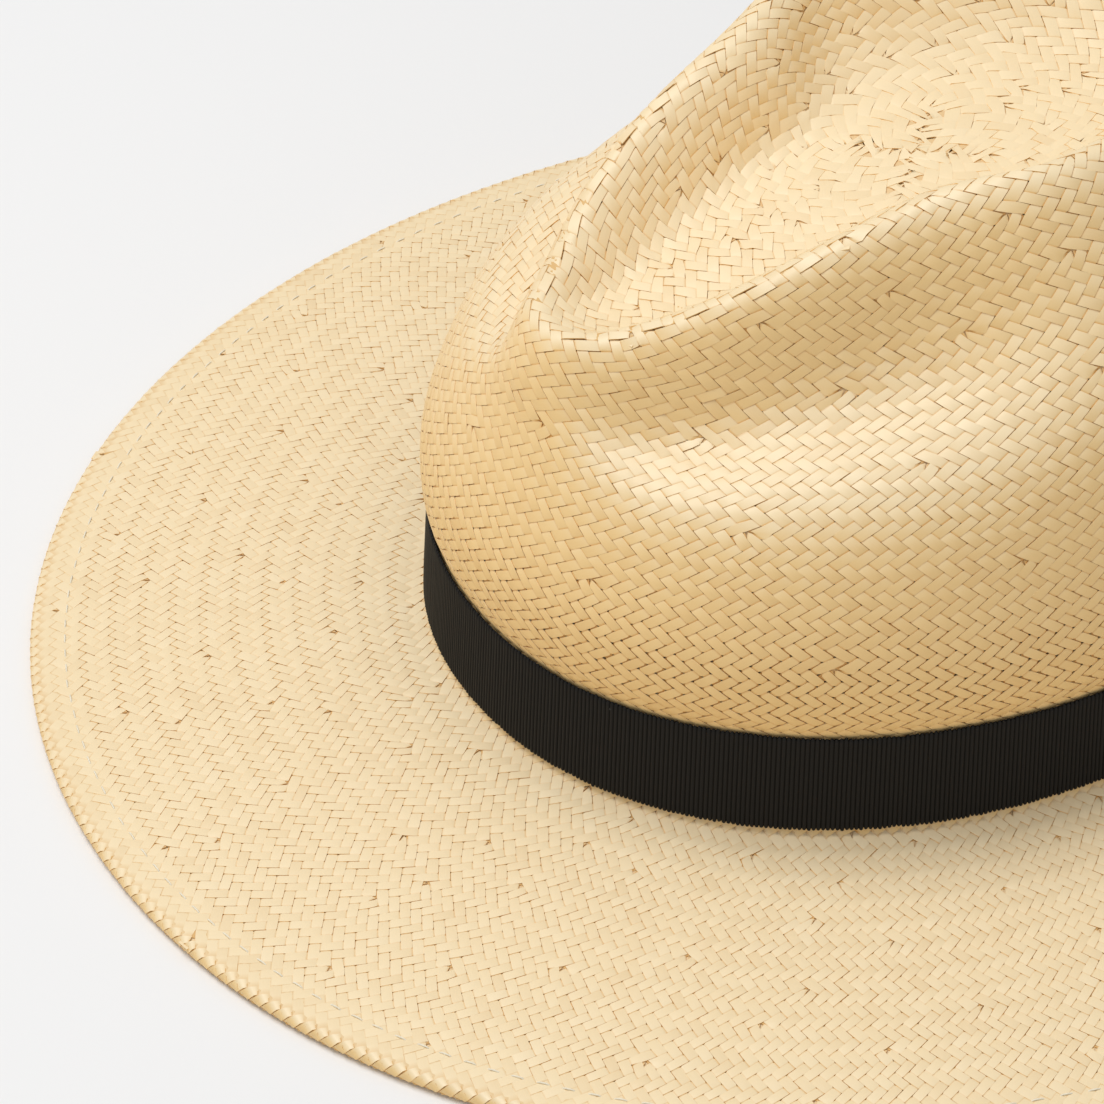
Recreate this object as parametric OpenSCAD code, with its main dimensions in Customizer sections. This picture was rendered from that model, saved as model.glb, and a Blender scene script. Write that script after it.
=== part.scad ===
// Wide-brimmed panama hat with a teardrop crown. All sizes in millimetres.
// +Z is up, the front of the hat points along -Y and the wearer's left is +X.
// The origin is the middle of the hat, on the plane that the brim rests on.

/* [Crown] */
// Outside length of the crown at its foot, front to back
crown_length = 200; // [196:1:215]
// Outside width of the crown at its foot
crown_width = 165; // [155:1:180]
// Height the crown is drawn to; its two side ridges top out about 2 mm above this
crown_height = 124; // [112:1:134]
// How far the bowl between the ridges sinks below them
bowl_depth = 20; // [10:1:26]
// How far the front pinches press the crown inwards, 1 as shown
pinch = 1; // [0:0.1:1.2]
// Thickness of the woven straw
straw = 1; // [0.8:0.1:1.2]

/* [Brim] */
// Width of the brim in front and behind, from the crown's foot to its edge
brim_width = 83; // [60:1:95]
// Width of the brim at the two sides
brim_side = 79.5; // [58:0.5:92]
// How far the brim climbs from its edge to the crown
brim_rise = 1.6; // [1:0.1:6]
// Width of the straw that is folded under along the brim's edge
hem_width = 9; // [8:0.5:12]
// Outside thickness of the folded edge
hem_thickness = 3.5; // [3.2:0.1:4]
// Diameter of the shaping wire inside the folded edge
wire_d = 0.9; // [0.6:0.1:0.9]

/* [Hatband] */
// Height of the grosgrain ribbon
ribbon_height = 22; // [12:1:26]
// Thickness of the grosgrain ribbon
ribbon_thickness = 0.7; // [0.5:0.1:0.9]
// Width of the folded keeper over the ribbon's join at the back
keeper_width = 16; // [10:1:24]

/* [Sweatband] */
// Height of the sweatband inside the crown
sweat_height = 32; // [24:1:38]
// Thickness of the sweatband
sweat_thickness = 1; // [0.8:0.1:1.2]
// Diameter of the reed along the lower edge of the sweatband
reed_d = 1.6; // [1.2:0.1:1.8]

/* [Hidden] */
// clearance between pieces that lie against each other
gap = 0.3;
// steps round the oval and between neighbouring rings of the crown
turns = 60;
ring_steps = 2;
// half width and half length of the crown's foot
foot_x = crown_width / 2;
foot_y = crown_length / 2;
// how square the ovals of the crown's foot and the brim's edge are, 2 is an ellipse
foot_power = 2.1;
edge_power = 2.05;
// sideways lean of the crown wall for each millimetre of height
lean = 0.07;
roll_r = hem_thickness / 2;
brim_top = hem_thickness + brim_rise;
bowl_z = crown_height - bowl_depth;
ribbon_z = brim_top + 1.8;
ribbon_top = ribbon_z + ribbon_height;
thread_d = 0.5;
// height of the folded flap's underside where its stitches lie, and at its free edge
flap_z = 1.1;
flap_end_z = 1.2;
// distance from the flap's free edge to where it starts to bend down to the table
flap_bend = 2.2;
// the hem's thread runs this far in from the brim's edge
stitch_inset = hem_width - 1.6;
stitch_pitch = 5;
stitch_length = 3.4;
sweat_z = brim_top + 1.4;
// distance from the crown's outside to the sweatband's outside
sweat_inset = straw + gap + 0.1;
tape_width = 12;
back = 180;

function sgnpow(v, p) = sign(v) * pow(abs(v), p);

// Point of an oval at angle a, 0 at the front and 90 on the wearer's left
function oval(a, x, front, rear, p) =
    let (c = sgnpow(cos(a), 2 / p), s = sgnpow(sin(a), 2 / p))
    [x * s, -(front + rear) / 2 * c + (rear - front) / 2];

// Oval of the crown's foot moved inwards by d
function foot(a, d) = oval(a, foot_x - d, foot_y - d, foot_y - d, foot_power);

// Oval of the brim's edge moved inwards by d
function edge(a, d) =
    oval(a, foot_x + brim_side - d, foot_y + brim_width - d, foot_y + brim_width - d, edge_power);

// How far the ribbon's line up the wall stands inside the foot oval at height z
function wall_inset(z) = lean * (z - brim_top - 2);

// Strength of the two front pinches at angle a, strongest near 50 degrees. Inside the bowl
// the pinches end abruptly, outside they fade along the crown's sides.
function pinch_at(a, abrupt) =
    let (away = abs(abs(a > 180 ? a - 360 : a) - 50))
    pinch * exp(-(abrupt ? pow(away / 38, 8) : pow(away / 36, 4)));

// Rings of the outer surface from the middle of the crown to the brim's edge:
// [half width, front reach, back reach, front z, side z, back z, pinched in, pinched down, power]
function wall_ring(z, d) = [foot_x - d, foot_y - d, foot_y - d, z, z, z, 0, 0, foot_power];
function brim_ring(u) =
    let (
        z = brim_top - brim_rise * u * u,
        x = foot_x + u * (brim_side - roll_r), y = foot_y + u * (brim_width - roll_r))
    [x, y, y, z, z, z, 0, 0, foot_power + (edge_power - foot_power) * u];
rings = [
    // floor of the bowl
    [0, 0, 0, bowl_z, bowl_z, bowl_z, 0, 0, foot_power],
    [10, 26, 24, bowl_z - 3, bowl_z, bowl_z + 1, 0, 0, foot_power],
    [22, 58, 50, bowl_z - 12, bowl_z, bowl_z + 2, 0.16, 0, foot_power],
    // inner slope and top of the ridge
    [33, 74, 66, bowl_z - 15, crown_height - 12, crown_height - 14, 0.36, 0, foot_power],
    [42, 84, 78, bowl_z - 8, crown_height + 5, crown_height - 5, 0.17, 0, foot_power],
    // groove of the pinch outside the ridge
    [52, 88, 87, bowl_z - 15, crown_height - 7, crown_height - 11, 0.2, 8, foot_power],
    [61, 90.5, 89, bowl_z - 21, crown_height - 20, crown_height - 21, 0.27, 13, foot_power],
    // shoulder
    [foot_x - 10, foot_y - 9, foot_y - 6, bowl_z - 30, crown_height - 36, crown_height - 35,
        0.02, 2, foot_power],
    [foot_x - 2.6, foot_y - 2.4, foot_y - 2, 57, 60, 61, 0, 0, foot_power],
    // the wall swells out over the ribbon and is drawn in beneath it
    wall_ring(46, -0.9), wall_ring(38, -1.3), wall_ring(ribbon_top + 2.6, -1),
    wall_ring(ribbon_top + 0.9, wall_inset(ribbon_top) + 0.75),
    wall_ring(ribbon_top - 3, wall_inset(ribbon_top - 3) + 0.3),
    wall_ring((ribbon_z + ribbon_top) / 2, wall_inset((ribbon_z + ribbon_top) / 2) + 0.1),
    wall_ring(brim_top + 2, 0), wall_ring(brim_top + 0.2, -0.3),
    // brim
    brim_ring(0.025), brim_ring(0.14), brim_ring(0.4), brim_ring(0.7), brim_ring(1)
];
last = len(rings) - 1;

// Control point of ring i at angle a; rings run on evenly past both ends
function control(i, a) =
    i < 0 ? control(-i, a + 180)
    : i > last ? 2 * control(last, a) - control(2 * last - i, a)
    : let (
        r = rings[i], g = pinch_at(a % 360, i < 5),
        xy = oval(a, r[0] * (1 - r[6] * g), r[1], r[2], r[8]),
        mid = (r[2] - r[1]) / 2,
        y = (xy[1] - mid) * (1 - 0.35 * r[6] * g) + mid,
        z = r[4] + (r[3] - r[5]) / 2 * cos(a) + ((r[3] + r[5]) / 2 - r[4]) * pow(cos(a), 2)
            - r[7] * g)
    [xy[0], y, z];

// Point of the smooth outer surface, t counts rings from the middle outwards
function skin(t, a) =
    let (i = min(floor(t), last - 1), f = t - i, g = 1 - f)
    (g * g * g * control(i - 1, a) + (3 * f * f * f - 6 * f * f + 4) * control(i, a)
        + (-3 * f * f * f + 3 * f * f + 3 * f + 1) * control(i + 1, a)
        + f * f * f * control(i + 2, a)) / 6;

// Point a straw's thickness inside the outer surface
function lining(t, a) =
    let (
        n = cross(skin(t, a + 1) - skin(t, a - 1),
            skin(min(t + 0.05, last), a) - skin(t - 0.05, a)))
    skin(t, a) + straw * n / norm(n);

// Joins loops of points, given one after another, into faces of one closed skin
function loop_faces(loops, n, closed) = [
    for (k = [0 : loops - (closed ? 1 : 2)], j = [0 : n - 1])
        let (p = k * n, q = (k + 1) % loops * n, m = (j + 1) % n)
        each [[p + j, q + j, q + m], [p + j, q + m, p + m]]
];

// Sweeps the closed outline, a list of [inset, z], round the foot oval or the edge oval
module ring_sweep(outline, on_edge = false) {
    n = len(outline);
    points = [
        for (k = [0 : turns - 1], v = outline)
            let (xy = on_edge ? edge(k * 360 / turns, v[0]) : foot(k * 360 / turns, v[0]))
            [xy[0], xy[1], v[1]]
    ];
    polyhedron(points, loop_faces(turns, n, true), convexity = 8);
}

// Sweeps the outline along the part of the oval from angle start to angle stop
module arc_sweep(outline, start, stop, on_edge = false) {
    n = len(outline);
    steps = 6;
    points = [
        for (k = [0 : steps], v = outline)
            let (
                a = start + (stop - start) * k / steps,
                xy = on_edge ? edge(a, v[0]) : foot(a, v[0]))
            [xy[0], xy[1], v[1]]
    ];
    first_cap = [for (j = [0 : n - 1]) j];
    last_cap = [for (j = [n - 1 : -1 : 0]) steps * n + j];
    polyhedron(points, concat(loop_faces(steps + 1, n, false), [first_cap, last_cap]),
        convexity = 8);
}

// One stitch of thread centred at p and lying along the oval's direction from p to q
module stitch(p, q) {
    heading = atan2(q[1] - p[1], q[0] - p[0]);
    translate(p)
        rotate([0, 90, heading])
            cylinder(h = stitch_length, d = thread_d, center = true, $fn = 16);
}

// The woven hood: crown and brim in one piece, with its edge folded under
module straw_body() {
    angles = [for (k = [0 : turns - 1]) k * 360 / turns];
    outer = [for (k = [1 : last * ring_steps]) k / ring_steps];
    roll = [for (f = [30 : 30 : 150]) [roll_r - roll_r * sin(f), roll_r + roll_r * cos(f)]];
    flap = [
        [roll_r, 0], [hem_width / 2, 0], [hem_width - flap_bend, flap_z], [hem_width, flap_end_z],
        [hem_width, flap_end_z + straw - 0.1], [hem_width - flap_bend, flap_z + straw - 0.1],
        [hem_width / 2, straw], [roll_r, straw]
    ];
    hollow = [
        for (f = [150 : -30 : 30])
            [roll_r - (roll_r - straw) * sin(f), roll_r + (roll_r - straw) * cos(f)]
    ];
    hem = concat(roll, flap, hollow);
    rows = concat(
        [for (t = outer, a = angles) skin(t, a)],
        [for (v = hem, a = angles) let (xy = edge(a, v[0])) [xy[0], xy[1], v[1]]],
        [for (k = [len(outer) - 1 : -1 : 0], a = angles) lining(outer[k], a)]
    );
    count = 2 * len(outer) + len(hem);
    top = len(rows);
    crown_caps = [
        for (j = [0 : turns - 1])
            let (m = (j + 1) % turns)
            each [[top, j, m], [top + 1, (count - 1) * turns + m, (count - 1) * turns + j]]
    ];
    middle = [skin(0, 0), skin(0, 0) - [0, 0, straw]];
    color([0.9, 0.78, 0.55])
        polyhedron(concat(rows, middle), concat(loop_faces(count, turns, false), crown_caps),
            convexity = 12);
}

// Outline of a round section of radius r in the middle of the brim's folded edge
function fold_round(r) =
    [for (f = [0 : 45 : 315]) [roll_r + r * cos(f), roll_r + r * sin(f)]];

// Round rod of radius r in the brim's folded edge, within the angle half of the back
module wire_arc(r, half) {
    arc_sweep(fold_round(r), back - half, back + half, on_edge = true);
}

// Spring wire that keeps the brim's edge round, inside the fold
module brim_wire() {
    color([0.6, 0.6, 0.62])
        ring_sweep(fold_round(wire_d / 2), on_edge = true);
}

// Crimped sleeve that joins the two ends of the wire at the back
module wire_sleeve() {
    half = 2.5;
    color([0.7, 0.6, 0.35])
        difference() {
            wire_arc(roll_r - straw - 0.1, half);
            wire_arc(wire_d / 2 + 0.05, half + 1);
        }
}

// Thread that holds the fold: stitches on top of the brim and on its underside
module hem_stitching() {
    reach = foot_x + foot_y + brim_side + brim_width - 2 * stitch_inset;
    count = floor(PI * reach / stitch_pitch);
    z_top = skin(last - 0.2, 90)[2] + thread_d / 2 + 0.1;
    z_low = flap_z - thread_d / 2 - 0.1;
    color([0.93, 0.87, 0.72])
        for (k = [0 : count - 1], z = [z_top, z_low])
            let (a = k * 360 / count, p = edge(a, stitch_inset), q = edge(a + 1, stitch_inset))
                stitch([p[0], p[1], z], q);
}

// Grosgrain ribbon round the foot of the crown
module hatband() {
    z = [ribbon_z, ribbon_top];
    color([0.04, 0.04, 0.045])
        ring_sweep([
            [wall_inset(z[0]) - gap, z[0]], [wall_inset(z[1]) - gap, z[1]],
            [wall_inset(z[1]) - gap - ribbon_thickness, z[1]],
            [wall_inset(z[0]) - gap - ribbon_thickness, z[0]]
        ]);
}

// Folded piece of ribbon over the join of the hatband, its ends turned in above and below
module hatband_keeper() {
    z = [ribbon_z, ribbon_top];
    out = ribbon_thickness + 2 * gap;
    lip = gap + 0.5;
    half = keeper_width / 2 / foot_x * 180 / PI;
    color([0.05, 0.05, 0.055])
        arc_sweep([
            [wall_inset(z[1]) - lip, z[1] + gap], [wall_inset(z[1]) - lip, z[1] + 2 * gap],
            [wall_inset(z[1]) - out - ribbon_thickness, z[1] + 2 * gap],
            [wall_inset(z[0]) - out - ribbon_thickness, z[0] - 2 * gap],
            [wall_inset(z[0]) - 2 * gap, z[0] - 2 * gap], [wall_inset(z[0]) - 2 * gap, z[0] - gap],
            [wall_inset(z[0]) - out, z[0] - gap], [wall_inset(z[1]) - out, z[1] + gap]
        ], back - half, back + half);
}

// Short thread tacks that hold the ribbon's upper edge to the straw
module hatband_tacks() {
    z = ribbon_top - 1.5;
    color([0.06, 0.06, 0.06])
        for (a = [25 : 62 : 345])
            let (p = foot(a, wall_inset(z)), q = foot(a + 1, wall_inset(z)))
                translate([p[0], p[1], z])
                    rotate([0, 90, atan2(q[1] - p[1], q[0] - p[0]) - 90])
                        translate([0, 0, 0.2])
                            cylinder(h = 2.4, d = 0.4, center = true, $fn = 16);
}

// Soft band inside the crown that sits on the head
module sweatband() {
    z = [sweat_z, sweat_z + sweat_height];
    color([0.86, 0.78, 0.62])
        ring_sweep([
            [wall_inset(z[0]) + sweat_inset + sweat_thickness, z[0]],
            [wall_inset(z[1]) + sweat_inset + sweat_thickness + 1, z[1]],
            [wall_inset(z[1]) + sweat_inset + 1, z[1]], [wall_inset(z[0]) + sweat_inset, z[0]]
        ]);
}

// Reed along the lower edge of the sweatband
module sweatband_reed() {
    r = reed_d / 2;
    z = sweat_z - r - 0.1;
    color([0.8, 0.72, 0.55])
        ring_sweep([for (f = [0 : 45 : 315]) [sweat_inset + sweat_thickness / 2 + 0.3 + r * cos(f),
            z + r * sin(f)]]);
}

// Thread that holds the sweatband to the straw, seen on the sweatband's inner face
module sweatband_stitching() {
    z = sweat_z + 2.5;
    inset = wall_inset(z) + sweat_inset + sweat_thickness + thread_d / 2 + 0.2;
    count = floor(PI * (foot_x + foot_y - 2 * inset) / stitch_pitch);
    color([0.93, 0.89, 0.78])
        for (k = [0 : count - 1])
            let (a = (k + 0.5) * 360 / count, p = foot(a, inset), q = foot(a + 1, inset))
                stitch([p[0], p[1], z], q);
}

// Short tape over the upright join of the sweatband at the back
module sweatband_seam_tape() {
    z = [sweat_z + 4, sweat_z + sweat_height];
    inner = sweat_inset + sweat_thickness + gap;
    half = tape_width / 2 / foot_x * 180 / PI;
    color([0.8, 0.7, 0.52])
        arc_sweep([
            [wall_inset(z[0]) + inner + 0.5, z[0]], [wall_inset(z[1]) + inner + 1.5, z[1]],
            [wall_inset(z[1]) + inner + 1, z[1]], [wall_inset(z[0]) + inner, z[0]]
        ], back - half, back + half);
}

straw_body();
brim_wire();
wire_sleeve();
hem_stitching();
hatband();
hatband_keeper();
hatband_tacks();
sweatband();
sweatband_reed();
sweatband_stitching();
sweatband_seam_tape();
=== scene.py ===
"""Woven panama hat with a teardrop crown, a wired hem and a grosgrain hatband.

Lengths inside the functions are in millimetres unless a name says otherwise, and each mesh is
scaled to metres when it is made. Angle 0 is the front of the hat (-Y) and 90 degrees its left (+X).
"""
import math

import bpy
import numpy as np
from mathutils import Matrix, Vector


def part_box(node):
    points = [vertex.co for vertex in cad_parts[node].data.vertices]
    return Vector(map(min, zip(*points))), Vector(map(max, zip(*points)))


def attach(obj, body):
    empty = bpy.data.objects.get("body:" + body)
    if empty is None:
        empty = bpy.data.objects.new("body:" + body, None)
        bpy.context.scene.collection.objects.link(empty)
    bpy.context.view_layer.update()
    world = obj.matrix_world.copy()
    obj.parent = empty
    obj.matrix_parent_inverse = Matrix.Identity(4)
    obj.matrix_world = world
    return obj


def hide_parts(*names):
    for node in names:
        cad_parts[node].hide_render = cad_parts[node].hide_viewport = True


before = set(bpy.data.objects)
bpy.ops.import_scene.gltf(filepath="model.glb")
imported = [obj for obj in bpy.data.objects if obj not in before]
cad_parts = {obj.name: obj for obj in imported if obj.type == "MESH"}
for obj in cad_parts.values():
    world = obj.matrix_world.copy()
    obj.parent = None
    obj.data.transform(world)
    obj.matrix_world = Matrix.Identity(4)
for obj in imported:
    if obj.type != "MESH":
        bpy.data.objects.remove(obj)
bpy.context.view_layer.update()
MM = 0.001

# ---------------------------------------------------------------- sizes taken from the frame
hat_hi = np.array(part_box("straw_body")[1]) / MM
ribbon_lo, ribbon_hi = (np.array(p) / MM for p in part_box("hatband"))
sweat_lo, sweat_hi = (np.array(p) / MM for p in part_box("sweatband"))
wire_lo, wire_hi = (np.array(p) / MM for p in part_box("brim_wire"))
tape_lo, tape_hi = (np.array(p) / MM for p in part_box("sweatband_seam_tape"))
keeper_lo, keeper_hi = (np.array(p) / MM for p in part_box("hatband_keeper"))

STRAW = 1.0                 # thickness of the woven straw
GAP = 0.3                   # clearance between pieces that lie against each other
RIBBON_THICKNESS = 0.7
SWEAT_THICKNESS = 1.0
LEAN = 0.07                 # sideways lean of the crown wall for each millimetre of height
BRIM_RISE = 1.6
HEM_WIDTH = 9.0
FOOT_POWER, EDGE_POWER = 2.1, 2.05     # how square the ovals of the foot and the edge are
FOOT_X = ribbon_hi[0] - GAP - RIBBON_THICKNESS
FOOT_Y = ribbon_hi[1] - GAP - RIBBON_THICKNESS
BRIM_WIDTH = hat_hi[1] - FOOT_Y
BRIM_SIDE = hat_hi[0] - FOOT_X
ROLL_R = (wire_lo[2] + wire_hi[2]) / 2
BRIM_TOP = 2 * ROLL_R + BRIM_RISE
CROWN_HEIGHT = 124.0
BOWL_Z = CROWN_HEIGHT - 20.0
STITCH_INSET = HEM_WIDTH - 1.6


# ---------------------------------------------------------------- shape of the hat
def signed_power(v, p):
    return np.sign(v) * np.abs(v) ** p


def oval(angle, x, front, rear, power):
    """Points (x, y) of an oval with the given reaches."""
    c = signed_power(np.cos(angle), 2 / power)
    s = signed_power(np.sin(angle), 2 / power)
    return x * s, -(front + rear) / 2 * c + (rear - front) / 2


def foot_oval(angle, inset):
    return oval(angle, FOOT_X - inset, FOOT_Y - inset, FOOT_Y - inset, FOOT_POWER)


def edge_oval(angle, inset):
    y = FOOT_Y + BRIM_WIDTH - inset
    return oval(angle, FOOT_X + BRIM_SIDE - inset, y, y, EDGE_POWER)


def wall_inset(z):
    """How far the crown's wall stands inside the foot oval at height z."""
    return LEAN * (z - BRIM_TOP - 2)


def pinch_at(angle, abrupt=False):
    """Strength of the two front pinches, strongest about 50 degrees from the front."""
    away = np.abs(np.abs(np.degrees(angle)) - 50)
    return np.exp(-(away / 38) ** 8) if abrupt else np.exp(-(away / 36) ** 4)


def wall_ring(z, inset):
    return (FOOT_X - inset, FOOT_Y - inset, FOOT_Y - inset, z, z, z, 0, 0, FOOT_POWER)


def brim_ring(u):
    z = BRIM_TOP - BRIM_RISE * u * u
    x, y = FOOT_X + u * (BRIM_SIDE - ROLL_R), FOOT_Y + u * (BRIM_WIDTH - ROLL_R)
    return (x, y, y, z, z, z, 0, 0, FOOT_POWER + (EDGE_POWER - FOOT_POWER) * u)


RIBBON_Z, RIBBON_TOP = ribbon_lo[2], ribbon_hi[2]
RIBBON_MIDDLE = (RIBBON_Z + RIBBON_TOP) / 2
# half width, front reach, back reach, front z, side z, back z, pinched in, pinched down, power
RINGS = [
    # floor of the bowl
    (0, 0, 0, BOWL_Z, BOWL_Z, BOWL_Z, 0, 0, FOOT_POWER),
    (10, 26, 24, BOWL_Z - 3, BOWL_Z, BOWL_Z + 1, 0, 0, FOOT_POWER),
    (22, 58, 50, BOWL_Z - 12, BOWL_Z, BOWL_Z + 2, 0.16, 0, FOOT_POWER),
    # inner slope and top of the ridge
    (33, 74, 66, BOWL_Z - 15, CROWN_HEIGHT - 12, CROWN_HEIGHT - 14, 0.36, 0, FOOT_POWER),
    (42, 84, 78, BOWL_Z - 8, CROWN_HEIGHT + 5, CROWN_HEIGHT - 5, 0.17, 0, FOOT_POWER),
    # groove of the pinch outside the ridge
    (52, 88, 87, BOWL_Z - 15, CROWN_HEIGHT - 7, CROWN_HEIGHT - 11, 0.2, 8, FOOT_POWER),
    (61, 90.5, 89, BOWL_Z - 21, CROWN_HEIGHT - 20, CROWN_HEIGHT - 21, 0.27, 13, FOOT_POWER),
    # shoulder
    (FOOT_X - 10, FOOT_Y - 9, FOOT_Y - 6, BOWL_Z - 30, CROWN_HEIGHT - 36, CROWN_HEIGHT - 35,
     0.02, 2, FOOT_POWER),
    (FOOT_X - 2.6, FOOT_Y - 2.4, FOOT_Y - 2, 57, 60, 61, 0, 0, FOOT_POWER),
    # the wall swells out over the ribbon and is drawn in beneath it
    wall_ring(46, -0.9), wall_ring(39, -1.1), wall_ring(RIBBON_TOP + 4.5, -0.8),
    wall_ring(RIBBON_TOP + 0.6, wall_inset(RIBBON_TOP) - 0.55),
    wall_ring(RIBBON_TOP - 3, wall_inset(RIBBON_TOP - 3) + 0.05),
    wall_ring(RIBBON_MIDDLE, wall_inset(RIBBON_MIDDLE) + 0.1),
    wall_ring(BRIM_TOP + 2, 0), wall_ring(BRIM_TOP + 0.2, -0.3),
    # brim
    brim_ring(0.025), brim_ring(0.14), brim_ring(0.4), brim_ring(0.7), brim_ring(1),
]
LAST = len(RINGS) - 1
FOOT_T = 16                 # the ring at the foot of the wall
INNER_RINGS = 5             # rings of the bowl and its ridge
CREASE_T = 5.8              # the groove of the pinches lies here


def control(i, angle):
    """Control points of ring i; the rings run on evenly past both ends."""
    if i < 0:
        return control(-i, np.where(angle > 0, angle - np.pi, angle + np.pi))
    if i > LAST:
        return 2 * control(LAST, angle) - control(2 * LAST - i, angle)
    width, front, rear, z_front, z_side, z_back, inwards, down, power = RINGS[i]
    g = pinch_at(angle, abrupt=i < INNER_RINGS)
    x, y = oval(angle, width, front, rear, power)
    middle = (rear - front) / 2
    c = np.cos(angle)
    z = z_side + (z_front - z_back) / 2 * c + ((z_front + z_back) / 2 - z_side) * c * c - down * g
    x, y = x * (1 - inwards * g), (y - middle) * (1 - 0.35 * inwards * g) + middle
    return np.stack([x, y, z], -1)


def outer_skin(angle, t):
    """Smooth outer surface: a cubic spline through the rings. Returns rows x angles x 3."""
    i = np.minimum(np.floor(t).astype(int), LAST - 1)
    rings = {k: control(k, angle) for k in range(-1, LAST + 2)}
    rows = []
    for k, f in zip(i, t - i):
        g = 1 - f
        weights = (g ** 3, 3 * f ** 3 - 6 * f ** 2 + 4,
                   -3 * f ** 3 + 3 * f ** 2 + 3 * f + 1, f ** 3)
        rows.append(sum(w * rings[k - 1 + n] for n, w in enumerate(weights)) / 6)
    return np.array(rows)


def ring_tangents(points):
    return np.roll(points, -1, 1) - np.roll(points, 1, 1)


def unit(v):
    return v / np.maximum(np.linalg.norm(v, axis=-1, keepdims=True), 1e-9)


def surface_normals(points):
    """Outward normals of a grid of rings x angles."""
    return unit(np.cross(np.gradient(points, axis=0), ring_tangents(points)))


def running_total(steps):
    """Sums of the steps up to each place along the first axis, from zero."""
    return np.concatenate([np.zeros((1, *steps.shape[1:])), np.cumsum(steps, 0)])


def interpolate(at, known, values):
    """Each column of values, which is given at the known places, found at others."""
    return np.stack([np.interp(at, known, column) for column in values.T], -1)


def straw_rows(angle):
    """Middle surface of the straw from the crown's middle over the brim and round the hem."""
    t = np.concatenate([np.linspace(0.01, FOOT_T - 2, 220), np.linspace(FOOT_T - 2, LAST, 181)[1:]])
    skin = outer_skin(angle, t)
    rows = list(skin - STRAW / 2 * surface_normals(skin))
    radius = ROLL_R - STRAW / 2
    hem = [(ROLL_R - radius * math.sin(f), ROLL_R + radius * math.cos(f))
           for f in np.linspace(0, math.pi, 17)[1:]]
    flap = [(HEM_WIDTH / 2, 0.5), (HEM_WIDTH - 2.2, 1.5), (HEM_WIDTH, 1.65)]
    for inset, z in hem + flap:
        x, y = edge_oval(angle, inset)
        rows.append(np.stack([x, y, np.full_like(x, z)], -1))
    crease = np.exp(-((t - CREASE_T) / 0.55) ** 2)
    return np.array(rows), len(t) - 1, np.searchsorted(t, FOOT_T), crease


# ---------------------------------------------------------------- the weave's lattice
# A ring of chevrons takes four crossings of the lattice, and a chevron two columns.
RING_PITCH_MIDDLE = 8.2
RING_PITCH_CROWN = (5.9, 5.2)       # near the bowl and above the foot
RING_PITCH_BRIM = (6.7, 5.9)        # at the foot and at the edge
COLUMN_PITCH_CROWN = 3.65
COLUMN_PITCH_BRIM = (2.65, 2.85)
FIRST_CROSSING = 0.5                # four straws cross four others in the crown's middle
START_CROSSINGS = 8                 # up to here each crossing adds four straws both ways round
FIRST_RADIUS = FIRST_CROSSING * RING_PITCH_MIDDLE / 4
# heights of a straw along its way: over two crossings, under two
WAVE_V = np.array([-0.5, -0.3, 0.5, 1.3, 1.5, 1.7, 2.5, 3.3, 3.5])
WAVE_H = np.array([0.0, 0.92, 1.0, 0.92, 0.0, -0.92, -1.0, -0.92, 0.0])
WAVE_AMPLITUDE = 0.16
STRAND_THICKNESS = 0.2
STRAND_CROWNING = 0.07
UNDER_DEPTH = 0.34                  # how deep the doubled end of an inserted straw lies
# share of the pitch that a straw covers on the crown, and what is added to it elsewhere
STRAND_FILL = 0.965
FILL_BRIM, FILL_MIDDLE, FILL_LOWER_WALL, FILL_HEM = 0.02, 0.035, -0.075, 0.03
# how much narrower a straw is where it dives: everywhere, more on the brim, more on the lower wall
DIVE, DIVE_BRIM, DIVE_LOWER_WALL = 0.06, 0.10, 0.22
# the close middle of the crown ends this far out along the surface, and fades over this width
MIDDLE_REACH, MIDDLE_FADE = 42.0, 14.0
NEIGHBOUR_ROOM = 1.35               # how far a straw may spread into its neighbours' room
# random unevenness: height and tilt of one float, slow tilt, slow drift sideways, slow change in width
ROUGH_HEIGHT, ROUGH_TILT, SLOW_TILT, SLOW_DRIFT, SLOW_FILL = 0.012, 0.022, 0.008, 0.018, 0.012
CREASE_ROUGHNESS = 3.0              # how much rougher the floats lie in the groove of the pinches


def smooth_noise(rng, shape, waves=7):
    """Soft periodic noise of about unit size over a grid of rings x angles."""
    rows, columns = shape
    u = np.linspace(0, 2 * np.pi, columns, endpoint=False)[None, :]
    v = np.linspace(0, 2 * np.pi, rows)[:, None]
    total = np.zeros(shape)
    for _ in range(40):
        ku, kv = rng.integers(-waves * 2, waves * 2 + 1), rng.uniform(-waves, waves)
        total += np.cos(ku * u + kv * v + rng.uniform(0, 2 * np.pi))
    return total / math.sqrt(20)


def wrap(x, period):
    return (x + period / 2) % period - period / 2


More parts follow.
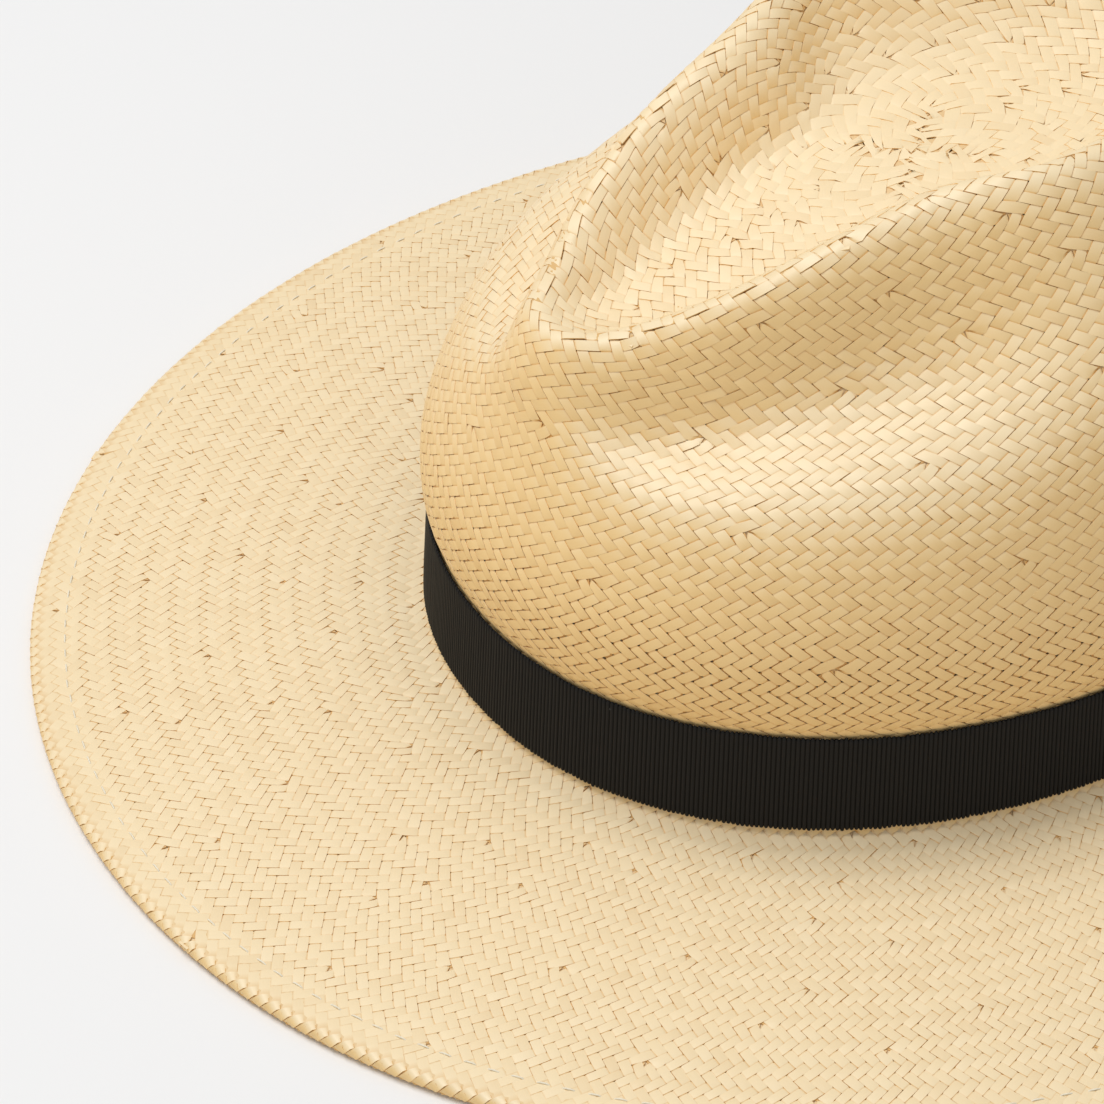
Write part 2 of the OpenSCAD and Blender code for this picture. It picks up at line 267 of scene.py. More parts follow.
class Lattice:
    """Rings of the hat at chosen crossings, with the column phase on each ring."""

    def __init__(self, samples=1440, angles=900):
        rng = np.random.default_rng(11)
        angle = np.linspace(-np.pi, np.pi, angles, endpoint=False)
        rows, edge_row, foot_row, crease = straw_rows(angle)
        length = running_total(np.linalg.norm(np.diff(rows, axis=0), axis=2))
        # every meridian is stretched to the mean length, so that rings meet the foot and the edge
        knots = [0, foot_row, edge_row, len(rows) - 1]
        self.anchors = [length[k].mean() for k in knots]
        stretched = np.stack([np.interp(length[:, j], length[knots, j], self.anchors)
                              for j in range(angles)], 1)
        self.foot, self.edge, self.end = self.anchors[1:]
        crossing_pitch = np.interp(self.steps(), [16, 24, self.foot - 8, self.foot, self.edge],
                                   [RING_PITCH_MIDDLE, *RING_PITCH_CROWN, *RING_PITCH_BRIM]) / 4
        s_fine = self.steps()
        v_fine = running_total(np.diff(s_fine) / crossing_pitch[1:]) + FIRST_CROSSING
        self.v = self.choose_crossings(v_fine, s_fine)
        self.s = np.interp(self.v, v_fine, s_fine)
        wander = 0.22 * smooth_noise(rng, (len(self.s), angles))
        wander *= np.interp(self.s, [0, 30, self.edge - 12, self.edge - 6], [0, 1, 1, 0])[:, None]
        rings = np.empty((len(self.s), angles, 3))
        flat_crease = np.concatenate([crease, np.zeros(len(rows) - len(crease))])
        crease_map = np.empty((len(self.s), angles))
        for j in range(angles):
            at = self.s + wander[:, j]
            rings[:, j] = interpolate(at, stretched[:, j], rows[:, j])
            crease_map[:, j] = np.interp(at, stretched[:, j], flat_crease)
        crease_map *= pinch_at(angle)[None, :]
        self.resample(rings, crease_map, angle, samples)
        self.columns = self.wanted_columns()
        self.phase = self.column_phase(rng)

    def steps(self):
        return np.linspace(FIRST_RADIUS, self.end, 4000)

    def choose_crossings(self, v_fine, s_fine):
        """Crossing numbers of all rings: the corners of the straws' wave, denser round the fold."""
        v_end = v_fine[-1]
        v = np.concatenate([np.arange(-1, int(v_end) + 5, 4) + w for w in WAVE_V[1:] + 1])
        fold = np.interp([self.edge - 0.5, self.edge + 4.5], s_fine, v_fine)
        v = np.concatenate([v, np.arange(fold[0], fold[1], 0.21)])
        v = np.unique(np.round(v[(v >= FIRST_CROSSING) & (v <= v_end)], 4))
        half = np.abs(v % 1 - 0.5) < 1e-3
        close = np.diff(v) < 0.05
        near = np.concatenate([[False], close]) | np.concatenate([close, [False]])
        return v[half | ~near]

    def resample(self, rings, crease_map, angle, samples):
        """Puts every ring's points at even steps of its own length."""
        closed = np.concatenate([rings, rings[:, :1]], 1)
        step = np.linalg.norm(np.diff(closed, axis=1), axis=2)
        along = running_total(step.T).T
        self.around = along[:, -1]
        share = np.arange(samples) / samples
        self.points = np.empty((len(rings), samples, 3))
        self.crease = np.empty((len(rings), samples))
        closed_crease = np.concatenate([crease_map, crease_map[:, :1]], 1)
        for m in range(len(rings)):
            at = share * along[m, -1]
            self.points[m] = interpolate(at, along[m], closed[m])
            self.crease[m] = np.interp(at, along[m], closed_crease[m])
        du = ring_tangents(self.points) / 2 * samples
        dv = np.gradient(self.points, self.v, axis=0)
        self.normals = unit(np.cross(dv, du))
        self.d_share, self.d_cross = du, dv

    def wanted_columns(self):
        """How many chevron columns each ring has; they grow from the middle to the edge."""
        crown = np.minimum(self.around / COLUMN_PITCH_CROWN, self.wall_columns())
        pitch = np.interp(self.s, [self.foot, self.edge], COLUMN_PITCH_BRIM)
        brim = self.around / pitch
        blend = np.clip((self.s - self.foot + 18) / 20, 0, 1)
        wanted = crown * (1 - blend) + brim * blend
        wanted[self.s > self.edge - 1] = wanted[np.searchsorted(self.s, self.edge - 1)]
        start = 4 * np.floor(np.minimum(self.v, START_CROSSINGS - 0.5) + 0.5)
        wanted = np.where(self.v < START_CROSSINGS, start, np.maximum(np.round(wanted), start))
        # straws are only added where a straw passes from above to below its neighbours
        turning = (self.v < START_CROSSINGS) | (np.abs(self.v % 2 - 1.5) < 1e-3)
        last = np.maximum.accumulate(np.where(turning, np.arange(len(self.v)), 0))
        return np.maximum.accumulate(wanted[last]).astype(int)

    def wall_columns(self):
        return self.around[np.searchsorted(self.s, self.foot - 30)] / COLUMN_PITCH_CROWN

    def column_phase(self, rng):
        """Phase of the columns, two units each. A new column starts at each inserted straw."""
        share = np.arange(self.points.shape[1] + 1) / self.points.shape[1]
        radius = running_total(2 * np.pi * np.diff(self.s)
                               / ((self.around[1:] + self.around[:-1]) / 2))
        added = np.diff(self.columns, prepend=0)
        births = np.repeat(np.arange(len(self.s)), added)
        mid = radius[births]
        number = np.arange(len(births))
        where = (number * 0.6180339887 + rng.uniform(-0.012, 0.012, len(births))) % 1
        start = number < 4 * START_CROSSINGS
        where[start] = 0.125 + 0.25 * (number[start] % 4)
        # a new straw lies half way between two crossings of the ring before it
        parity = np.floor(self.v[births]) + 1
        for _ in range(12):
            for i in np.where(~start)[0]:
                others = number != i
                here = self.phase_at(mid[i], np.array([where[i]]), mid[others], where[others],
                                     births[others] <= births[i])[0]
                miss = wrap(here - parity[i], 2.0)
                where[i] = (where[i] - 0.8 * miss / (2 * self.columns[births[i]])) % 1
        phase = np.empty((len(self.s), len(share)))
        for m, here in enumerate(radius):
            phase[m] = self.phase_at(here, share, mid, where, births <= m)
            phase[m] = np.maximum.accumulate(phase[m] + 1e-7 * share)
        return phase

    def phase_at(self, radius, share, mid, where, outside):
        """Phase at shares of a ring. Each inserted straw turns the field round itself."""
        distance = np.exp(-np.abs(radius - mid))
        near = distance > 0.02
        turn = 2j * np.pi * (share[None, :] - where[near, None])
        turn = np.where(outside[near, None], -turn, turn)
        columns = (np.angle(1 - distance[near, None] * np.exp(turn)) / (2 * np.pi)).sum(0)
        columns += (share[None, :] - where[outside, None] - 0.5).sum(0)
        return 2 * columns + 1


# ---------------------------------------------------------------- straws as closed strips
def sample_ring(values, share):
    """Values of one ring at shares of its length, in straight steps between samples."""
    n = len(values)
    x = (share % 1) * n
    i = x.astype(int) % n
    f = (x - np.floor(x))[:, None] if values.ndim > 1 else x - np.floor(x)
    return values[i] * (1 - f) + values[(i + 1) % n] * f


class Family:
    """All straws that run one way round: sense +1 or -1."""

    def __init__(self, lattice, sense):
        self.lattice, self.sense = lattice, sense
        self.places = [self.crossings(m) for m in range(len(lattice.v))]
        self.follow()

    def crossings(self, m):
        """Shares of ring m where the straws of this family cross it."""
        phase = self.lattice.phase[m]
        samples = len(phase) - 1
        shift = self.sense * self.lattice.v[m]
        first = math.ceil((phase[0] + shift) / 2)
        count = self.lattice.columns[m]
        wanted = 2 * (first + np.arange(count)) - shift
        return np.interp(wanted, phase, np.arange(samples + 1) / samples)

    def slope(self, m, share):
        """Columns' phase per share of the ring, smoothed over a straw's width."""
        phase = self.lattice.phase[m]
        total = phase[-1] - phase[0]
        grid = np.linspace(0, 1, len(phase))
        reach = 0.6 / self.lattice.columns[m]

        def unrolled(x):
            return np.interp(x % 1, grid, phase) + np.floor(x) * total
        return (unrolled(share + reach) - unrolled(share - reach)) / (2 * reach)

    def follow(self):
        """Joins the crossings of neighbouring rings into straws."""
        v = self.lattice.v
        self.straw_of = []
        count = 0
        for m, here in enumerate(self.places):
            straws = np.full(len(here), -1)
            if m:
                before = self.places[m - 1]
                moved = before - self.sense * (v[m] - v[m - 1]) / self.slope(m - 1, before)
                gap = np.abs(wrap(moved[:, None] - here[None, :], 1.0))
                nearest = gap.argmin(1)
                order = np.argsort(gap[np.arange(len(before)), nearest])
                for k in order:
                    if straws[nearest[k]] < 0:
                        straws[nearest[k]] = self.straw_of[m - 1][k]
                    else:
                        free = np.where(straws < 0)[0]
                        spot = free[gap[k, free].argmin()]
                        straws[spot] = self.straw_of[m - 1][k]
            fresh = np.where(straws < 0)[0]
            straws[fresh] = count + np.arange(len(fresh))
            count += len(fresh)
            self.straw_of.append(straws)
        self.count = count
        self.born = [(m, self.places[m][k]) for m, straws in enumerate(self.straw_of)
                     for k, straw in enumerate(straws)
                     if m == 0 or straw not in self.straw_of[m - 1]]

    def nodes(self):
        """One record per straw and ring, sorted by straw and then by ring."""
        lattice = self.lattice
        ring = np.repeat(np.arange(len(self.places)), [len(here) for here in self.places])
        straw = np.concatenate(self.straw_of)

        def gather(values):
            return np.concatenate([sample_ring(values[m], p) for m, p in enumerate(self.places)])
        point, normal, crease = (gather(values) for values in
                                 (lattice.points, lattice.normals, lattice.crease))
        normal = unit(normal)
        slope = np.concatenate([self.slope(m, p) for m, p in enumerate(self.places)])
        along_ring = gather(lattice.d_share) / slope[:, None]
        order = np.lexsort((ring, straw))
        return (ring[order], straw[order], point[order], normal[order], crease[order],
                along_ring[order])


def per_straw_noise(rng, straw, v, knot, size):
    """Noise that changes slowly along each straw, a new value every knot crossings."""
    x = v / knot + 17.0 * straw
    i = np.floor(x).astype(int)
    table = rng.standard_normal(i.max() + 3)
    f = x - i
    f = f * f * (3 - 2 * f)
    return size * (table[i] * (1 - f) + table[i + 1] * f)


def straw_mesh(family, rng):
    """Corner points of every straw: five per node, as left, crown, right and the underside."""
    lattice = family.lattice
    ring, straw, point, normal, crease, along_ring = family.nodes()
    v = lattice.v[ring]
    starts = np.concatenate([[True], straw[1:] != straw[:-1]])
    ends = np.concatenate([straw[1:] != straw[:-1], [True]])
    # direction along the straw, and the way across it that runs along the straws it crosses
    ahead = np.where(ends, np.arange(len(ring)), np.arange(len(ring)) + 1)
    behind = np.where(starts, np.arange(len(ring)), np.arange(len(ring)) - 1)
    travel = point[ahead] - point[behind]
    rise = (v[ahead] - v[behind])[:, None]
    per_crossing = travel / np.maximum(rise, 1e-6)
    across = per_crossing + 2 * family.sense * along_ring
    s = lattice.s[ring]
    middle = np.clip((MIDDLE_REACH - s) / MIDDLE_FADE, 0, 1)
    # the two edges of a straw never stand further out than its neighbours allow
    room = np.linalg.norm(along_ring, axis=1) * 2
    across_length = np.linalg.norm(across, axis=1)
    along = unit(travel)
    side = unit(np.cross(normal, along))
    squareness = np.abs((unit(across) * side).sum(1))
    turn = np.sign((across * side).sum(1))[:, None]
    spread = (NEIGHBOUR_ROOM + 0.6 * middle) * room
    limit = np.minimum(1.0, spread / np.maximum(across_length * squareness, 1e-6))
    half = across * (limit * turn[:, 0])[:, None] / 2

    on_brim = np.clip((s - lattice.foot - 2) / 10, 0, 1)
    lower_wall = np.exp(-((s - (lattice.foot - 36)) / 14) ** 2)
    on_hem = np.clip((s - lattice.edge + HEM_WIDTH) / 3, 0, 1)
    fill = (STRAND_FILL + FILL_BRIM * on_brim + FILL_MIDDLE * middle
            + FILL_LOWER_WALL * lower_wall + FILL_HEM * on_hem)
    fill += per_straw_noise(rng, straw, v, 3.0, SLOW_FILL) * (1 - 0.5 * on_brim) * (1 - middle)
    wave = np.interp((v + 0.5) % 4 - 0.5, WAVE_V, WAVE_H) * family.sense
    # a straw is pinched narrower where it dives under its neighbour
    dive = (1 - np.abs(wave)) * (1 - on_hem) * (1 - middle)
    fill -= dive * (DIVE + DIVE_BRIM * on_brim + DIVE_LOWER_WALL * lower_wall * (1 - on_brim))
    height = np.where(starts, 0, WAVE_AMPLITUDE * (1 - 0.25 * on_brim - 0.3 * on_hem) * wave)
    float_number = np.floor((v + 0.5) / 2).astype(int)
    key = straw * 401 + float_number
    per_float = rng.standard_normal((key.max() + 1, 3))
    rough = 1 + CREASE_ROUGHNESS * crease
    height += ROUGH_HEIGHT * per_float[key, 0] * rough * np.abs(wave)
    tilt = ROUGH_TILT * per_float[key, 1] * rough + per_straw_noise(rng, straw, v, 1.3, SLOW_TILT)
    sideways = per_straw_noise(rng, straw, v, 2.2, SLOW_DRIFT)

    centre = point + normal * height[:, None] + half * 2 * sideways[:, None]
    left, right = centre - half * fill[:, None], centre + half * fill[:, None]
    tilt = (tilt * np.clip(np.abs(wave), 0.2, 1))[:, None]
    top = normal * STRAND_THICKNESS / 2
    corners = np.stack([
        left + top - normal * tilt,
        centre + top + normal * STRAND_CROWNING,
        right + top + normal * tilt,
        right - top + normal * tilt,
        left - top - normal * tilt,
    ], 1)
    length = running_total(np.linalg.norm(np.diff(point, axis=0), axis=1))
    length -= length[np.maximum.accumulate(np.where(starts, np.arange(len(ring)), 0))]
    # raised and lowered only set the painted shade where a straw dives: raised on the top corners,
    # lowered on the underside, with less shade in the crown's middle
    data = dict(corners=corners, straw=straw, v=v, starts=starts, ends=ends, length=length,
                tint=per_float[key, 2], raised=wave + 0.8 * middle, lowered=-wave)
    if family.sense > 0:
        ends_of_new = straw_ends(family)
        ends_of_new["straw"] += family.count
        data = {name: np.concatenate([data[name], ends_of_new[name]]) for name in data}
    data["count"] = data["straw"].max() + 1
    return data


def straw_ends(family):
    """The doubled ends of inserted straws, short flat pieces under the fork of each new pair."""
    lattice = family.lattice
    ring = np.array([m for m, _ in family.born])
    share = np.array([place for _, place in family.born])
    pick = [sample_ring(values[m], np.array([place]))[0] for values in
            (lattice.points, lattice.normals, lattice.d_cross, lattice.d_share)
            for m, place in family.born]
    point, normal, outwards, around = np.array(pick).reshape(4, -1, 3)
    across = around / lattice.columns[ring][:, None] * 0.46
    corners = []
    for reach in (-0.9, 0.2, 1.3):
        centre = point + outwards * reach - normal * UNDER_DEPTH
        top = normal * STRAND_THICKNESS / 2
        corners.append(np.stack([centre - across + top, centre + top, centre + across + top,
                                 centre + across - top, centre - across - top], 1))
    n = len(ring)
    # the doubled ends get only a little painted shade (raised 0.5)
    return dict(corners=np.stack(corners, 1).reshape(-1, 5, 3), straw=np.repeat(np.arange(n), 3),
                v=np.repeat(lattice.v[ring], 3) + np.tile([0, 0.5, 1.0], n),
                starts=np.tile([True, False, False], n), ends=np.tile([False, False, True], n),
                length=np.tile([0.0, 2.0, 4.0], n), tint=np.zeros(3 * n), raised=np.full(3 * n, 0.5),
                lowered=np.ones(3 * n))


def strip_faces(starts, ends):
    """Quads that join neighbouring nodes of a straw, and caps on its two ends."""
    first = np.where(~ends)[0] * 5
    quads = []
    for a, b in ((0, 1), (1, 2), (2, 3), (3, 4), (4, 0)):
        quads.append(np.stack([first + a, first + b, first + 5 + b, first + 5 + a], 1))
    head = np.where(starts)[0] * 5
    tail = np.where(ends)[0] * 5
    caps = [np.stack([end + k for k in corners], 1) for end, corners in (
        (head, (1, 0, 4)), (head, (1, 4, 3)), (head, (1, 3, 2)),
        (tail, (1, 4, 0)), (tail, (1, 3, 4)), (tail, (1, 2, 3)))]
    return np.concatenate(quads), np.concatenate(caps)


def new_mesh(name, vertices, quads, triangles=None, smooth=True):
    """Mesh object from arrays of points in millimetres and of faces."""
    mesh = bpy.data.meshes.new(name)
    triangles = np.zeros((0, 3), int) if triangles is None else triangles
    loops = np.concatenate([quads.ravel(), triangles.ravel()]).astype(np.int32)
    sizes = np.concatenate([np.full(len(quads), 4), np.full(len(triangles), 3)])
    starts = np.concatenate([[0], np.cumsum(sizes)[:-1]]).astype(np.int32)
    mesh.vertices.add(len(vertices))
    mesh.vertices.foreach_set("co", (vertices * MM).astype(np.float32).ravel())
    mesh.loops.add(len(loops))
    mesh.loops.foreach_set("vertex_index", loops)
    mesh.polygons.add(len(sizes))
    mesh.polygons.foreach_set("loop_start", starts)
    mesh.update(calc_edges=True)
    mesh.polygons.foreach_set("use_smooth", np.full(len(sizes), smooth))
    obj = bpy.data.objects.new(name, mesh)
    bpy.context.scene.collection.objects.link(obj)
    return obj


def add_uv(mesh, name, uv_of_vertex):
    layer = mesh.uv_layers.new(name=name)
    loops = np.empty(len(mesh.loops), np.int32)
    mesh.loops.foreach_get("vertex_index", loops)
    layer.data.foreach_set("uv", uv_of_vertex[loops].astype(np.float32).ravel())


def add_value(mesh, name, values):
    mesh.attributes.new(name, "FLOAT", "POINT").data.foreach_set("value", values.astype(np.float32))


# where the five corners lie across a straw's column of the bake map, and across its grain in mm
PROFILE_U = np.array([0.1, 0.4, 0.7, 0.78, 0.02])
PROFILE_GRAIN = np.array([0.0, 1.2, 2.4, 2.6, -0.2])
GRAIN_SHIFT = 7.31                  # moves each straw to its own part of the grain


def strip_object(name, data, chosen, columns):
    """One object from the nodes of the chosen straws."""
    keep = chosen[data["straw"]]
    corners = data["corners"][keep]
    straw, starts, ends = data["straw"][keep], data["starts"][keep], data["ends"][keep]
    n = len(straw)
    quads, caps = strip_faces(starts, ends)
    obj = new_mesh(name, corners.reshape(-1, 3), quads[:, ::-1], caps[:, ::-1])
    mesh = obj.data
    edges = np.empty(len(mesh.edges) * 2, np.int32)
    mesh.edges.foreach_get("vertices", edges)
    edges = edges.reshape(-1, 2)
    at_node, corner = np.divmod(edges, 5)
    lengthwise = corner[:, 0] == corner[:, 1]
    across = at_node[:, 0] == at_node[:, 1]
    at_end = (starts | ends)[at_node[:, 0]]
    sharp = (lengthwise & (corner[:, 0] != 1) & ~across) | (across & at_end)
    mesh.attributes.new("sharp_edge", "BOOLEAN", "EDGE").data.foreach_set("value", sharp)
    column = columns[straw]
    total = columns[chosen].max() + 1
    low, high = data["v"].min(), data["v"].max()
    uv = np.empty((n, 5, 2))
    uv[:, :, 0] = (column[:, None] + PROFILE_U[None, :]) / total
    uv[:, :, 1] = ((data["v"][keep] - low) / (high - low) * 0.98 + 0.01)[:, None]
    add_uv(mesh, "OFBake", uv.reshape(-1, 2))
    grain = np.empty((n, 5, 2))
    grain[:, :, 0] = PROFILE_GRAIN[None, :] + (straw * GRAIN_SHIFT)[:, None]
    grain[:, :, 1] = data["length"][keep][:, None]
    add_uv(mesh, "grain", grain.reshape(-1, 2))
    strand_tone = np.random.default_rng(5).standard_normal(data["count"])
    add_value(mesh, "straw_tone", np.repeat(strand_tone[straw], 5))
    add_value(mesh, "float_tone", np.repeat(data["tint"][keep], 5))
    # painted shade seen from below: the underside corners take lowered, the opposite of the wave, so
    # straws seen from beneath stay light
    raised = np.repeat(data["raised"][keep], 5).reshape(-1, 5)
    raised[:, 3:] = data["lowered"][keep][:, None]
    add_value(mesh, "raised", raised.ravel())
    return obj


def declare(obj, material, node_name):
    """Gives a finished piece its material, hangs it under the root body and hides the frame's part
    that it stands for.
    """
    obj.data.materials.append(material)
    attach(obj, "root")
    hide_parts(node_name)


PIECES_PER_FAMILY = 5


def make_weave(lattice, material):
    rng = np.random.default_rng(23)
    for sense, letter in ((1, "left"), (-1, "right")):
        data = straw_mesh(Family(lattice, sense), rng)
        nodes_of = np.bincount(data["straw"], minlength=data["count"])
        group = np.minimum((np.cumsum(nodes_of) * PIECES_PER_FAMILY / nodes_of.sum()).astype(int),
                           PIECES_PER_FAMILY - 1)
        for g in range(PIECES_PER_FAMILY):
            chosen = group == g
            columns = np.cumsum(chosen) - 1
            obj = strip_object(f"straws_{letter}_{g + 1}", data, chosen, columns)
            declare(obj, material, "straw_body")


# ---------------------------------------------------------------- materials
def material(name, **sockets):
    mat = bpy.data.materials.new(name)
    mat.use_nodes = True
    shader = mat.node_tree.nodes["Principled BSDF"]
    for socket, value in sockets.items():
        shader.inputs[socket.replace("_", " ")].default_value = value
    return mat, mat.node_tree, shader


def node(tree, kind, **values):
    made = tree.nodes.new(kind)
    for key, value in values.items():
        if hasattr(made, key):
            setattr(made, key, value)
        else:
            made.inputs[key.replace("_", " ")].default_value = value
    return made


PAINTED_SIDE_BOUNCE_TINT = (1.06, 0.95, 0.76, 1)      # painted warm bounce light on straw that faces sideways
PAINTED_TOP_SHEEN_TINT = (1.03, 1.08, 1.24, 1)       # painted pale sheen on straw that faces up
STRAW_DARK, STRAW_MIDDLE, STRAW_LIGHT = (
    (0.72, 0.50, 0.24, 1), (0.84, 0.65, 0.36, 1), (0.88, 0.71, 0.43, 1))
SUNK_SHADE = (0.80, 0.62, 0.38, 1)     # painted shade: multiplies the colour where a straw dives under its neighbours


def multiply_add(tree, source, factor, addend):
    """source * factor + addend, where addend is a number or another output."""
    made = node(tree, "ShaderNodeMath", operation="MULTIPLY_ADD")
    tree.links.new(source, made.inputs[0])
    made.inputs[1].default_value = factor
    if isinstance(addend, (int, float)):
        made.inputs[2].default_value = addend
    else:
        tree.links.new(addend, made.inputs[2])
    return made.outputs[0]


def map_range(tree, source, changed, **settings):
    """Maps a value's range; changed gives the sockets that differ from 0 and 1."""
    made = node(tree, "ShaderNodeMapRange", **settings)
    for socket, value in changed.items():
        made.inputs[socket].default_value = value
    tree.links.new(source, made.inputs["Value"])
    return made.outputs["Result"]


def colour_ramp(tree, source, dark, light, low=0.0, high=1.0, middle=None):
    made = node(tree, "ShaderNodeValToRGB")
    for element, place, colour in zip(made.color_ramp.elements, (low, high), (dark, light)):
        element.position, element.color = place, colour
    if middle:
        made.color_ramp.elements.new(middle[0]).color = middle[1]
    tree.links.new(source, made.inputs["Fac"])
    return made.outputs["Color"]


def add_bump(tree, shader, source, strength, distance):
    made = node(tree, "ShaderNodeBump", Strength=strength, Distance=distance)
    tree.links.new(source, made.inputs["Height"])
    tree.links.new(made.outputs["Normal"], shader.inputs["Normal"])


def mixed_colour(tree, factor, a, b, blend="MIX"):
    made = node(tree, "ShaderNodeMix", data_type="RGBA", blend_type=blend)
    for socket, value in (("Factor", factor), ("A", a), ("B", b)):
        if isinstance(value, (float, tuple)):
            made.inputs[socket].default_value = value
        else:
            tree.links.new(value, made.inputs[socket])
    return made.outputs["Result"]


def noise(tree, vector, scale, detail, roughness):
    made = node(tree, "ShaderNodeTexNoise", Scale=scale, Detail=detail, Roughness=roughness)
    tree.links.new(vector, made.inputs["Vector"])
    return made.outputs["Fac"]


def grain_uv(tree):
    return node(tree, "ShaderNodeUVMap", uv_map="grain").outputs["UV"]


def attribute(tree, name):
    return node(tree, "ShaderNodeAttribute", attribute_name=name).outputs["Fac"]


def straw_material():
    mat, tree, shader = material("paper_straw", Roughness=0.42)
    link = tree.links.new
    stretch = node(tree, "ShaderNodeMapping")
    stretch.inputs["Scale"].default_value = (9.0, 0.35, 1)
    link(grain_uv(tree), stretch.inputs["Vector"])
    fibre = noise(tree, stretch.outputs["Vector"], 1.0, 3.0, 0.6)
    tone = multiply_add(tree, attribute(tree, "straw_tone"), 0.02, 0.5)
    tone = multiply_add(tree, attribute(tree, "float_tone"), 0.03, tone)
    tone = multiply_add(tree, fibre, 0.16, tone)
    plain = colour_ramp(tree, tone, STRAW_DARK, STRAW_LIGHT, 0.25, 0.9,
                        middle=(0.58, STRAW_MIDDLE))
    # painted shade: the colour is darkened where a straw dives, standing in for the shadow in the gaps
    painted_shade_mask = map_range(tree, attribute(tree, "raised"), {"From Min": 0.7, "From Max": -0.8})
    shaded = mixed_colour(tree, painted_shade_mask, plain, SUNK_SHADE, "MULTIPLY")
    # painted light: straw that faces up is made paler, like a sheen, and straw that faces sideways
    # warmer, like warm bounced light
    facing = node(tree, "ShaderNodeSeparateXYZ")
    link(node(tree, "ShaderNodeNewGeometry").outputs["Normal"], facing.inputs["Vector"])
    upward = map_range(tree, facing.outputs["Z"], {"From Min": 0.25, "From Max": 0.95},
                       interpolation_type="SMOOTHSTEP")
    tint = mixed_colour(tree, upward, PAINTED_SIDE_BOUNCE_TINT, PAINTED_TOP_SHEEN_TINT)
    link(mixed_colour(tree, 1.0, shaded, tint, "MULTIPLY"), shader.inputs["Base Color"])
    add_bump(tree, shader, fibre, 0.25, 0.00004)
    link(map_range(tree, fibre, {"To Min": 0.36, "To Max": 0.52}), shader.inputs["Roughness"])
    return mat


def cloth_material(name, dark, light, roughness, lines, bump_height, scale):
    """Woven cloth: lines across the piece at a slant, with soft blotches of wear."""
    mat, tree, shader = material(name, Roughness=roughness, Sheen_Weight=0.15,
                                 Specular_IOR_Level=0.3)
    link = tree.links.new
    slant = node(tree, "ShaderNodeMapping")
    slant.inputs["Rotation"].default_value = (0, 0, lines)
    slant.inputs["Scale"].default_value = (scale, scale, 1)
    link(grain_uv(tree), slant.inputs["Vector"])
    wave = node(tree, "ShaderNodeTexWave", Scale=1.0, Distortion=0.6, Detail=2.0)
    wave.inputs["Detail Scale"].default_value = 3.0
    link(slant.outputs["Vector"], wave.inputs["Vector"])
    blotch = noise(tree, grain_uv(tree), 0.35, 4.0, 0.6)
    tone = multiply_add(tree, wave.outputs["Fac"], 0.45, blotch)
    link(colour_ramp(tree, tone, dark, light, 0.35, 0.95), shader.inputs["Base Color"])
    add_bump(tree, shader, wave.outputs["Fac"], 0.6, bump_height)
    return mat


def grosgrain_material():
    """Black ribbon with painted highlights on the crests of its ribs and painted shade in the grooves
    between.
    """
    mat, tree, shader = material("grosgrain", Roughness=0.55, Specular_IOR_Level=0.12)
    thread = noise(tree, grain_uv(tree), 2.6, 3.0, 0.6)
    # painted highlight and shade: the rib attribute lightens the crests and darkens the grooves
    tone = multiply_add(tree, thread, 0.35, attribute(tree, "rib"))
    colour = colour_ramp(tree, tone, (0.0012, 0.0012, 0.0012, 1), (0.015, 0.0148, 0.0146, 1), 0.45)
    tree.links.new(colour, shader.inputs["Base Color"])
    add_bump(tree, shader, thread, 0.4, 0.00004)
    return mat


def solid_noise_material(name, dark, light, scale, detail, rough, **sockets):
    """Material whose colour comes from noise through the solid; also returns that noise."""
    mat, tree, shader = material(name, **sockets)
    place = node(tree, "ShaderNodeTexCoord").outputs["Object"]
    speckle = noise(tree, place, scale, detail, rough)
    tree.links.new(colour_ramp(tree, speckle, dark, light), shader.inputs["Base Color"])
    return mat, tree, shader, speckle


def metal_material(name, dark, light):
    mat, tree, shader, speckle = solid_noise_material(name, dark, light, 900.0, 4.0, 0.65,
                                                      Metallic=1.0, Roughness=0.35)
    rough = map_range(tree, speckle, {"To Min": 0.25, "To Max": 0.5})
    tree.links.new(rough, shader.inputs["Roughness"])
    return mat


def grain_material(name, dark, light, roughness):
    """Fibres of a reed or a short thread, without mapped coordinates."""
    mat, tree, shader, speckle = solid_noise_material(name, dark, light, 1400.0, 3.0, 0.7,
                                                      Roughness=roughness)
    add_bump(tree, shader, speckle, 0.3, 0.00005)
    return mat


def dress_node(name, mat):
    obj = bpy.data.objects[name]
    for slot in obj.material_slots:
        slot.material = mat
    if not obj.material_slots:
        obj.data.materials.append(mat)


# ---------------------------------------------------------------- ribbon, sweatband and thread
RIB_PITCH, RIB_HEIGHT, RIB_SAMPLES = 0.92, 0.25, 6
SCALLOP = 0.5                       # how far a rib's end stands out past the ribbon's edge
RIBBON_FLARE = 0.25                 # how much further its upper edge stands off the crown
RIBBON_WIDTH = RIBBON_TOP - RIBBON_Z
SWEAT_HEIGHT = sweat_hi[2] - sweat_lo[2]
SWEAT_HEM = 4.0
SWEAT_SEAT = STRAW + GAP + 0.1 + SWEAT_THICKNESS       # from the crown's outside to the band's face
SWEAT_FLARE = 1.1                   # how far the free upper edge stands off the wall
SWEAT_WAVE, SWEAT_LIFT = 0.35, 0.25     # how far that edge waves inwards and up


def rib_profile(count):
    """Heights from 0 to 1 at count points across rounded ribs."""
    return np.abs(np.sin(np.pi * np.arange(count) / RIB_SAMPLES)) ** 0.6


def oval_row(angle, inset, z):
    """Points at height z on the oval that lies inset from the crown's foot."""
    x, y = foot_oval(angle, inset)
    return np.stack([x, y, z + np.zeros_like(x)], -1)


